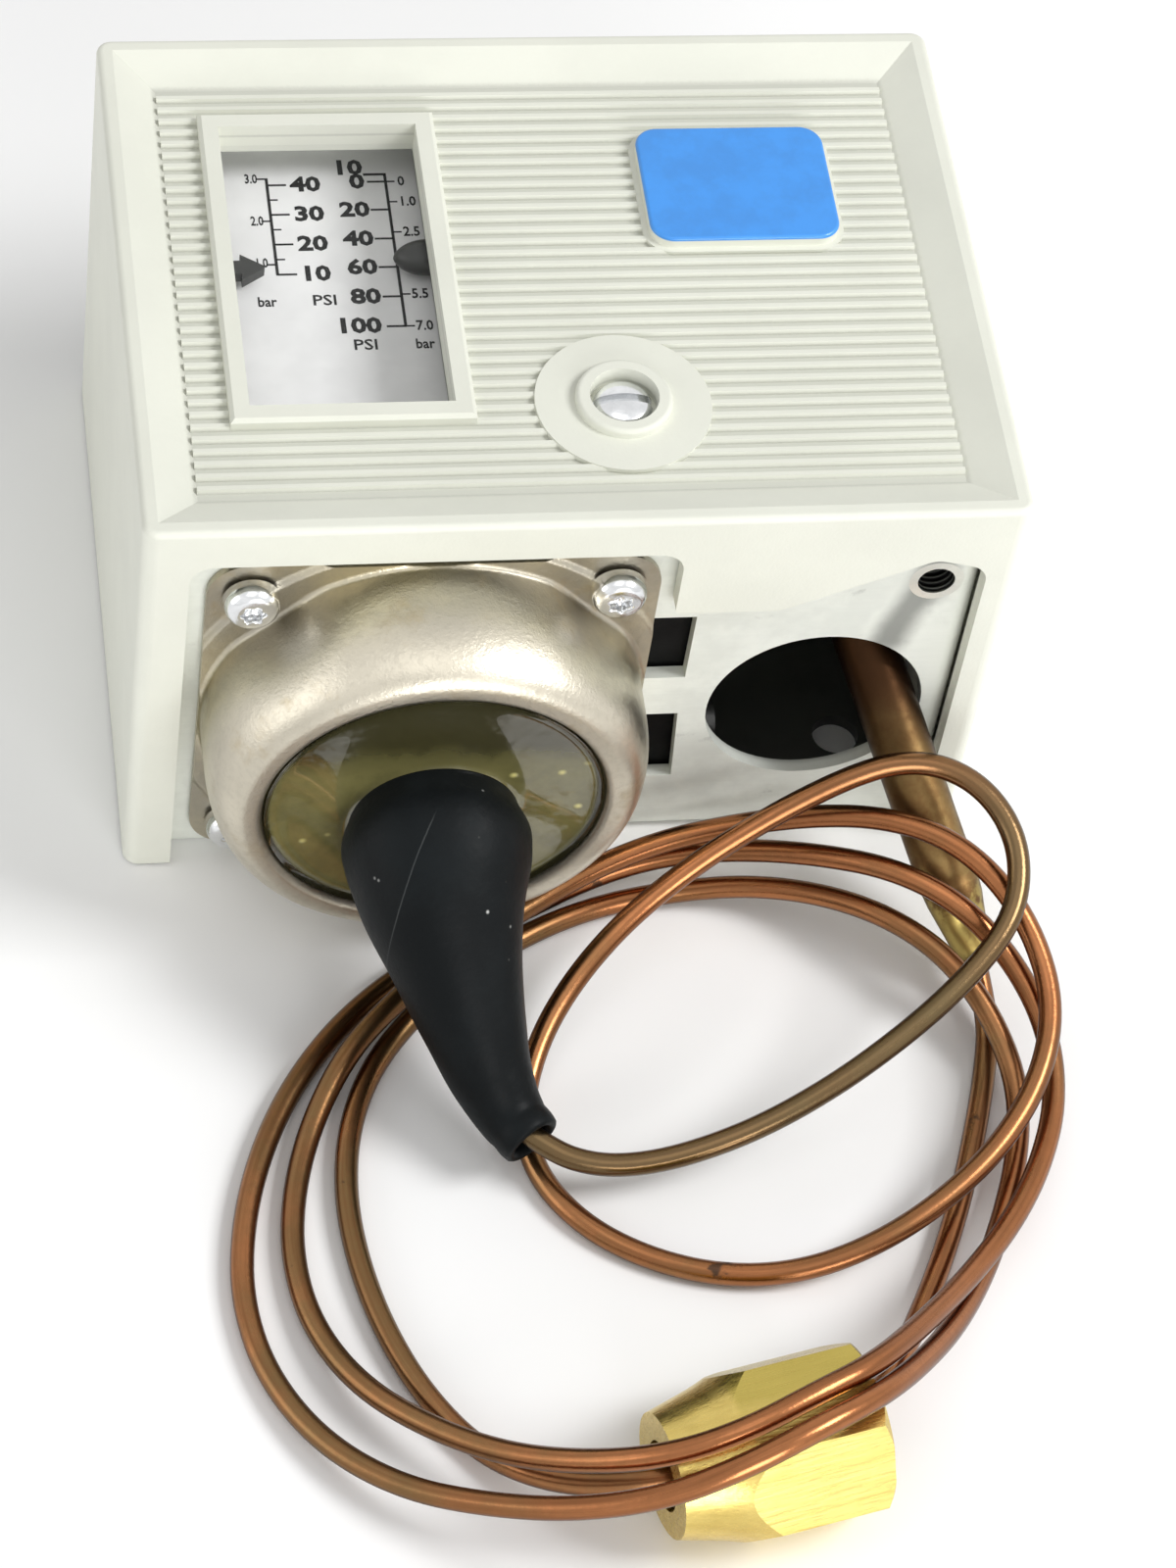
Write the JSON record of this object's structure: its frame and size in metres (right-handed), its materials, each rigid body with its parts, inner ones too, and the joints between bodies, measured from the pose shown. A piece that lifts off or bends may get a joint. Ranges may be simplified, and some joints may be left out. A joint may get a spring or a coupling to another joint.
{
  "type": "refrigeration pressure control",
  "caption": "Boxed pressure control with ribbed cover, dial window, bellows housing with rubber boot, and a looped capillary tube carrying a loose flare nut.",
  "frame": {"origin": "centre of the cover's outline on the back face, on the surface the control lies on", "axes": "+X to the right of the face, +Y towards the control's top, away from the bellows, +Z out of the face"},
  "size_m": [0.0935, 0.1536, 0.0535],
  "materials": {
    "cover_plastic": "satin, fine texture",
    "clear_plastic": "clear",
    "badge_blue": "glossy",
    "zinc_steel": "zinc plated",
    "nickel_steel": "plated, satin",
    "housing_zinc": "zinc plated, satin",
    "resin": "poured, glossy, with small bubbles",
    "boot_rubber": "matte with pale specks",
    "copper_aged": "bare copper, browned",
    "brass": "satin",
    "spring_steel": "satin",
    "scale_white": "matte with printed scales",
    "pointer_dark": "satin",
    "phenolic_black": "matte",
    "nut_plastic": "matte"
  },
  "bodies": {
    "base": {"frame": "zinc_steel", "earth_bush": "zinc_steel", "bellows_housing": "housing_zinc", "housing_screws": "nickel_steel", "potting": "resin", "boot": "boot_rubber", "capillary": "copper_aged", "stub_tube": "copper_aged", "flare_nut": "brass", "bellows": "brass", "range_spring": "spring_steel", "diff_spring": "spring_steel", "dial_bracket": "zinc_steel", "scale_plate": "scale_white", "switch_body": "phenolic_black", "terminal_plates": "brass", "terminal_screws": "nickel_steel", "ground_screw": "brass", "lever_pin": "nickel_steel", "lever_bracket": "zinc_steel"},
    "cover": {"cover": "cover_plastic", "window_lens": "clear_plastic", "cover_badge": "badge_blue", "cover_screw": "nickel_steel"},
    "range_adjuster": {"range_screw": "nickel_steel", "range_clip": "spring_steel"},
    "range_carriage": {"range_nut": "nut_plastic", "range_pointer": "pointer_dark"},
    "diff_adjuster": {"diff_screw": "nickel_steel", "diff_clip": "spring_steel"},
    "diff_carriage": {"diff_nut": "nut_plastic", "diff_pointer": "pointer_dark"},
    "lever": {"main_lever": "zinc_steel"},
    "rod": {"push_rod": "nickel_steel"},
    "plunger": {"switch_plunger": "nut_plastic"}
  },
  "joints": [
    {"name": "cover_lift", "type": "slide", "parent": "base", "child": "cover", "axis": [0, 0, 1], "range_m": [0, 0.06]},
    {"name": "range_screw_turn", "type": "hinge", "parent": "base", "child": "range_adjuster", "pos_m": [-0.004, 0.0275, 0.0338], "axis": [0, 1, 0], "range_deg": [-5625.5, 3510.5]},
    {"name": "range_set", "type": "slide", "parent": "base", "child": "range_carriage", "axis": [0, 1, 0], "range_m": [-0.0078, 0.0125], "deforming": ["range_spring"]},
    {"name": "diff_screw_turn", "type": "hinge", "parent": "base", "child": "diff_adjuster", "pos_m": [-0.033, 0.0275, 0.0338], "axis": [0, 1, 0], "range_deg": [-7406.21, 309.07]},
    {"name": "diff_set", "type": "slide", "parent": "base", "child": "diff_carriage", "axis": [0, 1, 0], "range_m": [-0.0006, 0.0144], "deforming": ["diff_spring"]},
    {"name": "lever_swing", "type": "hinge", "parent": "base", "child": "lever", "pos_m": [0, -0.01395, 0.008], "axis": [-1, 0, 0], "range_deg": [0, 2], "deforming": ["range_spring", "diff_spring"]},
    {"name": "rod_travel", "type": "slide", "parent": "base", "child": "rod", "axis": [0, 1, 0], "range_m": [0, 0.0005655], "stiffness_N_per_m": 1000, "springref_m": -0.0005, "deforming": ["bellows"]},
    {"name": "plunger_travel", "type": "slide", "parent": "base", "child": "plunger", "axis": [0, 1, 0], "range_m": [0, 0.000769]}
  ],
  "couplings": [
    {"joint": "range_screw_turn", "follows": "range_set", "rad_per_m": -7854},
    {"joint": "diff_screw_turn", "follows": "diff_set", "rad_per_m": -8976},
    {"joint": "lever_swing", "follows": "rod_travel", "rad_per_m": 61.728},
    {"joint": "plunger_travel", "follows": "rod_travel", "ratio": 1.358}
  ]
}
